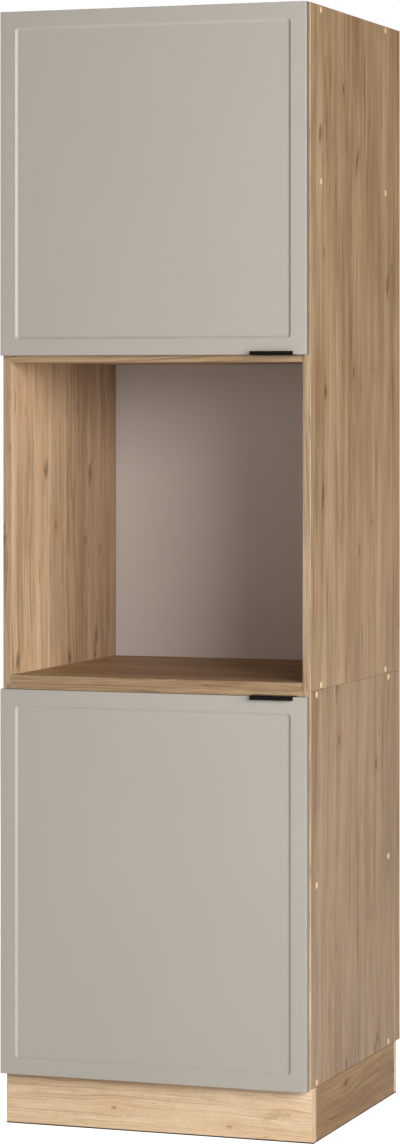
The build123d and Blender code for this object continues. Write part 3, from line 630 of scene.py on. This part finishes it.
# Screws: a turned profile, its top pressed down by a cross recess, its shank with a ridge that fades at the tip.
# Each kind: shank radius, length, head radius, height of a domed head (0 is countersunk), pitch, plain neck.
screwKinds = {
    "carcass": (3.2, 50.0, 5.0, 0, 3.6, 3.0), "connector": (2.0, 29.0, 4.0, 2.4, 1.9, 1.0),
    "angle": (1.9, 15.0, 3.6, 2.0, 1.6, 1.0), "ear": (1.75, 12.7, 2.8, 0, 1.5, 1.0),
    "plate": (2.0, 15.0, 3.8, 0, 1.7, 1.0), "arm": (2.4, 6.06, 4.0, 2.0, 1.2, 0.4),
    "handle": (1.5, 13.1, 2.6, 0, 1.3, 1.0),
}
# in parts of the head's radius, but thread and tip in parts of the shank's. The head's depth is the dome's height
# times sqrt(1 - (r / reach)^4). The recess is its arm's half width, its reach and its softness.
screwPlan = {"sides": 32, "recess": (0.13, 0.56, 0.07), "recessDeep": 0.5, "recessRim": 0.7, "threadDeep": 0.26,
             "threadSteep": 2.2, "rowsPerPitch": 6, "tip": 2.2, "tipShare": 0.25, "flatRows": np.linspace(0, 0.68, 12),
             "domeRows": (0.82, 0.93, 0.985, 1.0, 0.985), "domeReach": 1.02, "domeRim": np.array([0.45, 0.15, 0.0]),
             "sunkRows": (0.9, 0.985, 1.0), "sunkRim": np.array([0.03, 0.09]), "sunkSize": 0.985}


def screw(kind):
    # a domed head stands on the start, a countersunk one is level with it
    shank, length, head, headHeight, pitch, plain = screwKinds[kind]
    plan = screwPlan
    sides = plan["sides"]
    if headHeight:
        across = np.concatenate([plan["flatRows"], plan["domeRows"]]) * head
        down = -headHeight * np.sqrt(np.clip(1 - (across / head / plan["domeReach"]) ** 4, 0, 1))
        down[-3:] = -headHeight * plan["domeRim"]
        neckStart = 0.0
    else:
        across = np.concatenate([plan["flatRows"], plan["sunkRows"]]) * head * plan["sunkSize"]
        down = np.zeros(len(across))
        down[-2:] = plan["sunkRim"] * head
        neckStart = head - shank
    press = crossRecess(across, sides, *(share * head for share in plan["recess"]))
    deep = plan["recessDeep"] * head * press * (across[:, None] < plan["recessRim"] * head)
    top = down[:, None] + deep
    tip = min(plan["tip"] * shank, plan["tipShare"] * length)
    core = shank * (1 - plan["threadDeep"])
    start = neckStart + plain
    down = np.linspace(start, length, int((length - start) / pitch * plan["rowsPerPitch"]))[:, None]
    ridge = threadRidge(down, sides, pitch, plan["threadSteep"]) * smoothStep((down - start) / pitch)
    narrow = np.sqrt(np.clip((length - down) / tip, 0, 1))
    shaft = core * narrow + (shank - core) * ridge * np.sqrt(narrow)
    neck = np.full((1, sides), core), np.full((1, sides), neckStart + 0.05)
    radius = np.vstack([np.broadcast_to(across[:, None], top.shape), neck[0], shaft])
    return turned(radius, np.vstack([top, neck[1], np.broadcast_to(down, shaft.shape)]), sides)


def onSides(x, places):
    # places on both sides of the cabinet, that far from its middle, pointing inwards
    return [((side * x, y, z), (-side, 0, 0)) for side in (-1, 1) for y, z in places]


# carcass screws, 7 x 50 mm with a countersunk head, under the caps
screwRows = {"lower": ((35.5, 492.0), (108.0, 466.0, 812.0)), "upper": ((62.0, 473.0), (828.0, 1745.0, 2058.0))}
sideHoles = [((side * 300, y, z), (-side, 0, 0)) for rows, levels in screwRows.values()
             for side in (-1, 1) for z in levels for y in rows]
finishPiece("carcass_screws", placed(screw("carcass"), sideHoles))

# screw caps: a thin dome, flat in the middle, its rim rolled down to the side by (out sin a, down (1 - cos a))
capPlan = {"crown": ((0, 0.8), (1.5, 0.797), (3.0, 0.785), (4.2, 0.765)), "rim": (4.8, 0.74), "roll": (1.2, 0.62),
           "foot": ((5.6, 0), (0, 0)), "sides": 48}
roll = np.linspace(0, np.pi / 2, 7)
rim = np.stack([capPlan["rim"][0] + capPlan["roll"][0] * np.sin(roll),
                capPlan["rim"][1] - capPlan["roll"][1] * (1 - np.cos(roll))], -1)
cap = turned(*np.vstack([capPlan["crown"], rim, capPlan["foot"]]).T, capPlan["sides"])
finishPiece("screw_caps", placed(cap, [(start, (-x, y, z)) for start, (x, y, z) in sideHoles]),
            "carcass", "creamPolypropylene")

# dowels: the radius less a flute of 0.35 sin^2(18 a / 2), faded at both ends, and rounded tips. Depth and radius.
dowelPlan = {"end": ((0, 0), (0, 2.6), (0.25, 3.2), (0.8, 3.65), (1.6, 3.9), (2.6, 4.0)), "length": 30.0,
             "flutes": 18, "flute": 0.35, "fluted": 3.85, "sides": 108, "places": ((110, 1424), (440, 1424))}
down, radius = np.array(dowelPlan["end"]).T
down = np.concatenate([down, [dowelPlan["length"] / 2], dowelPlan["length"] - down[::-1]])
radius = np.concatenate([radius, radius[-1:], radius[::-1]])[:, None]
flute = np.sin(dowelPlan["flutes"] * angles(dowelPlan["sides"]) / 2) ** 2 * (radius > dowelPlan["fluted"])
dowel = turned(radius - dowelPlan["flute"] * flute, down, dowelPlan["sides"])
finishPiece("ceiling_dowels", placed(dowel, onSides(294, dowelPlan["places"])), "carcass", "beechAlongX")

# cams: a cast drum whose top carries a cross slot and a raised rim, with the bolt's way cut through its side.
# The rim is radius and depth.
camPlan = {"face": (6.0, 0.35, 21), "slot": (0.8, 5.0, 0.35), "slotDeep": 1.6, "sides": 64,
           "rim": ((6.3, 0.35), (6.5, 0.0), (7.1, 0.0), (7.3, 0.05), (7.45, 0.2), (7.5, 0.5), (7.5, 12.0),
                   (7.3, 12.3), (6.6, 12.5), (0, 12.5)), "top": 1432, "places": ((60.0, 1424), (490.0, 1424))}
reach, level, rows = camPlan["face"]
face = np.stack([np.linspace(0, reach, rows), np.full(rows, level)], -1)
across, down = np.vstack([face, camPlan["rim"]]).T
press = crossRecess(across, camPlan["sides"], *camPlan["slot"]) * (across[:, None] <= reach)
cam = turned(across, down[:, None] + camPlan["slotDeep"] * press, camPlan["sides"])
cams = []
for (x, y, z), inwards in onSides(284, camPlan["places"]):
    drum = stood(cam, (x + 24 * inwards[0], y, camPlan["top"]), (0, 0, -1))
    cams.append(carved("cam", (drum, ""), (stood(bore(3.5, -2, 24), (x, y, z), inwards), "DIFFERENCE")))
finishPiece("ceiling_cams", gathered(cams))

# cam bolts: a threaded end in the side, a collar, a thin neck and a ball that the cam grips. Depth and radius.
boltPlan = {"tip": ((0, 0), (0, 1.5), (0.6, 1.9)), "thread": (0.7, 10.9, 36), "core": 1.9, "ridge": 0.55,
            "pitch": 1.9, "steep": 1.8, "sides": 32,
            "body": ((11.0, 3.3), (11.2, 3.45), (27.2, 3.45), (27.5, 3.2), (27.6, 1.7), (30.6, 1.7), (31.2, 2.1),
                     (32.2, 2.42), (33.2, 2.45), (34.2, 2.1), (34.8, 1.4), (35.0, 0))}
first, last, rows = boltPlan["thread"]
thread = np.stack([np.linspace(first, last, rows), np.full(rows, boltPlan["core"])], -1)
down, radius = np.vstack([boltPlan["tip"], thread, boltPlan["body"]]).T[..., None]
ridge = threadRidge(down, boltPlan["sides"], boltPlan["pitch"], boltPlan["steep"])
ridge *= (down >= first) & (down <= last)
camBolt = turned(radius + boltPlan["ridge"] * ridge, down, boltPlan["sides"])
finishPiece("ceiling_cam_bolts", placed(camBolt, onSides(295, camPlan["places"])))

# connector screws between the two units, and the screws of the wall angles: all of them point up
finishPiece("unit_connectors", placed(screw("connector"), [((x, y, 804),) for x in (-220, 220) for y in (80, 470)]))
finishPiece("wall_angle_screws", placed(screw("angle"), [((x, 526, 2048),) for x in (-200, 200)]))

# wall angles: a strip bent square with a round back, one hole in each leg
anglePlan = {"leg": 40.0, "wall": 2.0, "half": 10.0, "rounds": (2.4, 0.5, 0.5, 0.7, 0.5, 0.5), "ease": 0.35,
             "corner": (550, 2050), "middles": (-200, 200)}
rear, top = anglePlan["corner"]
leg, wall, half = anglePlan["leg"], anglePlan["wall"], anglePlan["half"]
outline = softCorners([(rear, top), (rear, top - leg), (rear - wall, top - leg), (rear - wall, top - wall),
                       (rear - leg, top - wall), (rear - leg, top)], anglePlan["rounds"])
wallAngles = []
for x in anglePlan["middles"]:
    holes = gathered([stood(bore(1.95, -1, 4), (x, 526, 2047)),
                      stood(bore(3.25, -1, 4, 40), (x, 551, 2026), (0, -1, 0))])
    blank = laid(slab(outline, -half, half, anglePlan["ease"]), "yzx", (x, 0, 0))
    wallAngles.append(carved("angle", (blank, ""), (holes, "DIFFERENCE")))
finishPiece("wall_angles", gathered(wallAngles), "carcass", "galvanisedStrip")
print("stage: fixings of the carcass")

# where the hinges and the handles are screwed on: each place is a start and a direction
hinges = {"heights": {"upper": (1529.0, 1966.0), "lower": (198.0, 711.0)}, "pin": (-290.308, -11.0),
          "cupX": -277.108, "earX": -271.108, "ears": 24.0, "plateY": 37.0, "holes": 16.0, "armRows": (23.0, 49.0)}
pinX, pinY = hinges["pin"]
# the handle's edge of each door, and which way is out there
handlePlan = {"edges": {"upper": (1429.0, -1), "lower": (811.0, 1)}, "x": 234.0, "half": 41.0, "screws": 25.0,
              "drop": 12.0, "ease": 0.4, "face": -1.4}


def earPlaces(heights, y):
    return [((hinges["earX"], y, z + s * hinges["ears"]), (0, -1, 0)) for z in heights for s in (-1, 1)]


def platePlaces(heights, x):
    return [((x, hinges["plateY"], z + s * hinges["holes"]), (-1, 0, 0)) for z in heights for s in (-1, 1)]


def armPlaces(heights, x):
    return [((x, y, z), (-1, 0, 0)) for z in heights for y in hinges["armRows"]]


def handlePlaces(unit, y):
    edge, way = handlePlan["edges"][unit]
    return [((handlePlan["x"] + s * handlePlan["screws"], y, edge - way * handlePlan["drop"]), (0, -1, 0))
            for s in (-1, 1)]


# Doors: rings of a rounded rectangle from the middle of the back, over the edges, and down the milled recess to the
# middle of the front. Each ring has its inset from the edge, its Y and its corner radius; arcs round the edges.
# The holes are those of the hinge cups, their ear screws and the handle's screws: radius and sides.
doorPlan = {"x": 298.0, "heights": {"upper": (1429.0, 2066.0), "lower": (98.0, 811.0)}, "back": -3.0, "front": -19.0,
            "backEase": 1.0, "frontRound": 1.2, "corners": (0.4, 0.5), "land": (12.0, 5.0), "frame": 29.5,
            "bevel": 4.7, "recess": 2.5, "bevelCorners": (7.7, 3.0), "soft": 0.7, "field": (14.0, 2.0),
            "holes": ((17.5, 72), (1.75, 24), (1.5, 24)), "holeDeep": 11.5}


def doorShape(unit):
    plan = doorPlan
    low, high = plan["heights"][unit]
    back, front, floor = plan["back"], plan["front"], plan["front"] + plan["recess"]
    outer, inner = plan["corners"]
    arc = np.linspace(0, np.pi / 2, 5)
    rings = [(plan["backEase"] * (1 - math.sin(a)), back - plan["backEase"] * (1 - math.cos(a)), outer) for a in arc]
    rings += [(plan["frontRound"] * (1 - math.cos(a)), front + plan["frontRound"] * (1 - math.sin(a)), inner)
              for a in arc]
    rings.append((plan["land"][0], front, plan["land"][1]))
    lip, foot = plan["frame"], plan["frame"] + plan["bevel"]
    slope = math.atan2(plan["recess"], plan["bevel"])
    soft, run = plan["soft"], plan["soft"] * math.tan(slope / 2)
    turns = slope * np.linspace(0, 1, 4)
    outer, inner = plan["bevelCorners"]
    rings += [(lip - run + soft * math.sin(a), front + soft * (1 - math.cos(a)), outer) for a in turns]
    rings += [(foot + run - soft * math.sin(a), floor - soft * (1 - math.cos(a)), inner) for a in turns[::-1]]
    rings.append((foot + plan["field"][0], floor, plan["field"][1]))
    insets, levels, radii = np.array(rings).T
    middle, halfHigh = (low + high) / 2, (high - low) / 2
    lines = [softCorners([(x, middle - h), (x, middle + h), (-x, middle + h), (-x, middle - h)], radius, steps=8)
             for x, h, radius in zip(plan["x"] - insets, halfHigh - insets, radii)]
    blank = laid(lofted(lines, levels), "xzy")
    heights = hinges["heights"][unit]
    cups = [((hinges["cupX"], back, z), (0, -1, 0)) for z in heights]
    holes = [placed(bore(radius, -1, plan["holeDeep"], sides), places) for (radius, sides), places
             in zip(plan["holes"], (cups, earPlaces(heights, back), handlePlaces(unit, back)))]
    return carved("door", (blank, ""), (gathered(holes), "DIFFERENCE"))


# Handles: one bent strip, 1.6 mm: a plate behind the door, a web over its edge and a lip in front to pull
handleLine = [(-3, -20), (-3, 0), (-27.4, 0), (-27.4, -6.4), (-29, -6.4), (-29, 1.6), (-1.4, 1.6), (-1.4, -20)]
handleRounds = [0.45, 0.25, 0.4, 0.55, 0.55, 1.5, 1.5, 0.45]


def handleShape(unit):
    edge, way = handlePlan["edges"][unit]
    outline = softCorners(handleLine, handleRounds) * [1, way] + [0, edge]
    x, half = handlePlan["x"], handlePlan["half"]
    blank = laid(slab(outline, x - half, x + half, handlePlan["ease"]), "yzx")
    holes = placed(countersink(2.62, 1.55, 1.1, 3, 40), handlePlaces(unit, handlePlan["face"]))
    return carved("handle", (blank, ""), (holes, "DIFFERENCE"))


# Bumpers: a poured dome, height = 0.5 + 2.1 (1 - (r / 4)^3.2), over a short straight rim
domePlan = {"rows": (0, 0.8, 1.6, 2.3, 2.9, 3.35, 3.7, 3.9, 4.0), "rim": 0.5, "high": 2.1, "power": 3.2, "sides": 40,
            "x": 291, "y": -3, "fromEnds": 20}
radius = np.array(domePlan["rows"])
height = domePlan["rim"] + domePlan["high"] * (1 - (radius / radius[-1]) ** domePlan["power"])
dome = turned([*radius, radius[-1], 0], [*height, 0, 0], domePlan["sides"])

# Hinge cup: a drawn pot with a rounded floor and a rolled mouth, a flange over both ears, two bosses for the pin.
# The pot and the room in it are radius, depth and the floor's rounding, which is radius - round (1 - cos a).
# Hinge parts are worked out round height 0 and copied to each hinge's height.
cupPlan = {"face": -3.0, "pot": (17.4, 11.5, 1.5), "room": (16.5, 10.6, 1.2), "mouth": (0.9, -1.2), "sides": 72,
           "flange": (18.3, 5.0, 64), "steel": 1.2, "ease": 0.45, "bossHalf": 3, "bossReach": 16.95,
           "bossY": (-14.1, -8.35), "bossRounds": (0.45, 0.45, 2.2, 2.2), "bosses": (4.4, -9.6), "bossLong": 5.2,
           "bossEase": 0.4, "bore": 1.26}


def hingeCup():
    plan = cupPlan
    cupX, earX, ears, y = hinges["cupX"], hinges["earX"], hinges["ears"], plan["face"]
    into = ((cupX, y, 0), (0, -1, 0))
    arc = np.linspace(0, np.pi / 2, 6)
    out, up = np.cos(arc), np.sin(arc)
    outer, deep, bend = plan["pot"]
    pot = turned([0, outer, outer, *(outer - bend * (1 - out)), 0],
                 [-1.0, -1.0, 0.0, *(deep - bend * (1 - up)), deep], plan["sides"])
    mouth, level = plan["mouth"]
    inner, deep, bend = plan["room"]
    room = turned([0, *(inner + mouth * out), inner, *(inner - bend * (1 - out)), 0],
                  [-3, *(level + mouth * up), 2.0, *(deep - bend * (1 - up)), deep], plan["sides"])
    wide, ear, steps = plan["flange"]
    ring = np.stack([np.cos(angles(steps)), np.sin(angles(steps))], -1)
    cloud = np.vstack([[x, z] + r * ring for x, z, r in ((cupX, 0, wide), (earX, ears, ear), (earX, -ears, ear))])
    flangeLine = cloud[convex_hull_2d(cloud.tolist())]
    flange = laid(slab(flangeLine, y, y + plan["steel"], plan["ease"]), "xzy")
    (low, high), half = plan["bossY"], plan["bossHalf"]
    boss = softCorners([(pinX - half, low), (pinX + half, low), (pinX + half, high), (pinX - half, high)],
                       plan["bossRounds"])
    bosses = gathered([slab(boss, z, z + plan["bossLong"], plan["bossEase"]) for z in plan["bosses"]])
    inPot = stood(bore(plan["bossReach"], -4, 11.2, plan["sides"]), *into)
    bosses = carved("boss", (bosses, ""), (inPot, "INTERSECT"))
    holes = placed(countersink(2.82, 1.78, 1.05, 14), earPlaces([0], y + plan["steel"]))
    holes = gathered([holes, stood(bore(plan["bore"], -9.0, 9.0), (pinX, pinY, 0))])
    return carved("cup", (flange, ""), (stood(pot, *into), "UNION"), (stood(room, *into), "DIFFERENCE"),
                  (bosses, "UNION"), (holes, "DIFFERENCE"))


# Hinge arm: a strip bent round the pin and cranked to the plate, then a channel. With s the smooth step of y, its
# legs are 2.2 + 5.4 s, and its half width is 5 + 3 sqrt((y - 12) / 4), up to 8.
armPlan = {"line": [(-278.708, -11.0), (-278.708, 3), (-275, 10), (-275, 62)], "bends": [0, 2.0, 4.0, 6.0, 0],
           "steel": 2.0, "neckHalf": 4.0, "neckEase": 0.4, "top": -274, "legs": (2.2, 5.4, 16.5, 8.5),
           "halves": (5.0, 3.0, 12.0, 4.0), "rounds": [1.5, 1.5, 0.08, 0.08, 0.1, 0.1, 0.08, 0.08],
           "rows": (12.0, 12.3, 13.0, 14.0, 15.5, 17.0, 18.5, 20.0, 21.5, 23.0, 25.0, 40.0, 55.0, 61.7, 62.0),
           "eye": 2.1, "eyeSides": 40, "eyeEase": 0.3, "bore": 1.3}


def hingeArm():
    plan = armPlan
    steel, wide, top = plan["steel"], plan["neckHalf"], plan["top"]
    line = softCorners([(pinX, pinY), *plan["line"]], plan["bends"], closed=False, steps=6)
    neck = slab(strip(line, steel), -wide, wide, plan["neckEase"])
    rows = np.array(plan["rows"])
    short, more, start, run = plan["legs"]
    legs = short + more * smoothStep((rows - start) / run)
    narrow, more, start, run = plan["halves"]
    halves = narrow + more * np.sqrt(np.clip((rows - start) / run, 0, 1))
    sections = [softCorners([(top, -h), (top, h), (top - g, h), (top - g, h - steel), (top - steel, h - steel),
                             (top - steel, steel - h), (top - g, steel - h), (top - g, -h)], plan["rounds"])
                for g, h in zip(legs, halves)]
    channel = laid(lofted(sections, rows), "xzy")
    circle = angles(plan["eyeSides"])
    eye = np.stack([pinX + plan["eye"] * np.cos(circle), pinY + plan["eye"] * np.sin(circle)], -1)
    holes = placed(bore(2.45, -2, 4), armPlaces([0], top + 0.5))
    holes = gathered([holes, stood(bore(plan["bore"], -6.0, 6.0), (pinX, pinY, 0))])
    return carved("arm", (channel, ""), (neck, "UNION"), (slab(eye, -wide, wide, plan["eyeEase"]), "UNION"),
                  (holes, "DIFFERENCE"))


# Hinge plate: a cross with round tips, 2 mm thick, and a rounded rib that carries the arm
platePlan = {"cross": [(19, 5.5), (30, 5.5), (30, 23), (44, 23), (44, 5.5), (55, 5.5)],
             "tips": [2.4, 1, 6, 6, 1, 2.4], "x": (-284.0, -282.0), "ease": 0.4, "ribHalf": 5.4, "ribEase": 0.6,
             "rib": [(-283.9, 17), (-276.2, 17), (-276.2, 58), (-283.9, 58)], "ribRounds": [0.7, 2.0, 2.0, 0.7]}


def hingePlate():
    plan = platePlan
    lower, upper = np.array(plan["cross"]) * [1, -1], plan["cross"][::-1]
    base = softCorners([*lower, *upper], plan["tips"] * 2)
    base = laid(slab(base, *plan["x"], plan["ease"]), "yzx")
    rib = slab(softCorners(plan["rib"], plan["ribRounds"]), -plan["ribHalf"], plan["ribHalf"], plan["ribEase"])
    holes = gathered([placed(countersink(3.82, 2.02, 1.8, 4), platePlaces([0], plan["x"][1])),
                      placed(bore(2.42, -4, 5.9), armPlaces([0], -276))])
    return carved("plate", (base, ""), (rib, "UNION"), (holes, "DIFFERENCE"))


# Hinge pin: height from the middle and radius of its upper half
pinPlan = {"end": ((8.4, 1.25), (8.7, 1.22), (8.9, 1.1), (9.0, 0.8), (9.0, 0)), "sides": 32}
height, radius = np.array(pinPlan["end"]).T
pin = turned(np.concatenate([radius[::-1], radius]), np.concatenate([-height[::-1], height]), pinPlan["sides"])
hingeParts = (("cups", hingeCup(), "_door"), ("pins", stood(pin, (pinX, pinY, 0)), "_door"),
              ("arms", hingeArm(), ""), ("plates", hingePlate(), ""))
for unit, heights in hinges["heights"].items():
    door = unit + "_door"
    finishPiece(door, doorShape(unit), door, "satinLacquer")
    finishPiece(unit + "_handle", handleShape(unit), door, "blackAnodised")
    finishPiece(unit + "_handle_screws", placed(screw("handle"), handlePlaces(unit, handlePlan["face"])), door)
    low, high = doorPlan["heights"][unit]
    domes = [((domePlan["x"], domePlan["y"], z), (0, 1, 0)) for z in (low + domePlan["fromEnds"],
                                                                     high - domePlan["fromEnds"])]
    finishPiece(unit + "_bumpers", placed(dome, domes), door, "clearPolyurethane")
    for part, shape, moving in hingeParts:
        copies = placed(shape, [((0, 0, z),) for z in heights])
        finishPiece(f"{unit}_hinge_{part}", copies, door if moving else "carcass", "nickelSteel")
    finishPiece(unit + "_ear_screws", placed(screw("ear"), earPlaces(heights, -1.8)), door)
    finishPiece(unit + "_plate_screws", placed(screw("plate"), platePlaces(heights, -282)))
    finishPiece(unit + "_arm_screws", placed(screw("arm"), armPlaces(heights, -274)))
print("stage: doors, handles and hinges")

# the floor, plain white board: seen by the camera a little lighter than it is lit, so the page stays white. Its own
# light is raised in the distance, where the lamps fade, so that no horizon shows.
floorPlan = {"half": 14.0, "tones": ("BCBCBC", "C4C4C4"), "grit": 900.0, "lift": (0.90, 1.0), "fade": (2.5, 6.0)}
floorMesh = bpy.data.meshes.new("floor")
half = floorPlan["half"]
floorMesh.from_pydata([(-half, -half, 0), (half, -half, 0), (half, half, 0), (-half, half, 0)], [], [(0, 1, 2, 3)])
floor = bpy.data.objects.new("floor", floorMesh)
scene.collection.objects.link(floor)
floorMaterial, put, place = newMaterial("floorWhite")
paper = put("TexNoise", {"Vector": place.outputs["Object"], "Scale": floorPlan["grit"], "Detail": 2.0})
tone = put("Mix:RGBA", paper, *floorPlan["tones"])
rays = put("LightPath")
seen = put("Math:MAXIMUM", rays.outputs["Is Camera Ray"], rays.outputs["Is Glossy Ray"])
seen = put("Math:MAXIMUM", seen, rays.outputs["Is Transmission Ray"])
far = put("VectorMath:LENGTH", place.outputs["Object"])
lift = put("MapRange", far, *floorPlan["fade"], *floorPlan["lift"])
lift = put("Math:MULTIPLY", seen, lift)
board = {"Base Color": tone, "Roughness": 0.9, "Emission Color": "FFFFFF", "Emission Strength": lift}
put("OutputMaterial", {"Surface": put("BsdfPrincipled", board)})
floorMesh.materials.append(floorMaterial)

# lights: four soft lamps before the cabinet, most of them at its right, one behind and one above. Each has its place,
# what it aims at, its size and its power. The room gives next to nothing, and the camera sees it white.
roomLight = 0.02
lamps = {
    "keyLamp": ((3.06, -3.20, 1.70), (0.0, -0.2, 1.05), (1.9, 2.0), 56.0),
    "sideLamp": ((3.95, -1.95, 1.60), (0.0, -0.2, 1.05), (1.6, 2.0), 102.0),
    "farLamp": ((4.82, -6.27, 2.76), (0.0, -0.1, 1.10), (2.6, 2.2), 198.0),
    "frontLamp": ((0.60, -6.60, 1.60), (0.0, -0.2, 1.05), (2.4, 2.0), 50.0),
    "backLamp": ((-3.60, 3.40, 3.40), (0.0, 0.2, 1.10), (2.6, 2.6), 165.0),
    "topLamp": ((-0.30, 1.10, 5.20), (0.0, 0.3, 2.00), (1.6, 1.6), 24.0),
}
world = bpy.data.worlds.new("room")
scene.world = world
world.use_nodes = True
world.node_tree.nodes.clear()
put = functools.partial(addNode, world.node_tree)
rays = put("LightPath")
seen = put("Math:MAXIMUM", rays.outputs["Is Camera Ray"], rays.outputs["Is Transmission Ray"])
strength = put("Math:MAXIMUM", seen, roomLight)
put("OutputWorld", {"Surface": put("Background", {"Color": "FFFFFF", "Strength": strength})})
for name, (start, aim, size, power) in lamps.items():
    lampData = bpy.data.lights.new(name, "AREA")
    lampData.shape = "RECTANGLE"
    lampData.size, lampData.size_y = size
    lampData.energy = power
    lamp = bpy.data.objects.new(name, lampData)
    lamp.location = start
    lamp.rotation_euler = (Vector(aim) - Vector(start)).to_track_quat("-Z", "Y").to_euler()
    scene.collection.objects.link(lamp)
print("stage: floor and lights")
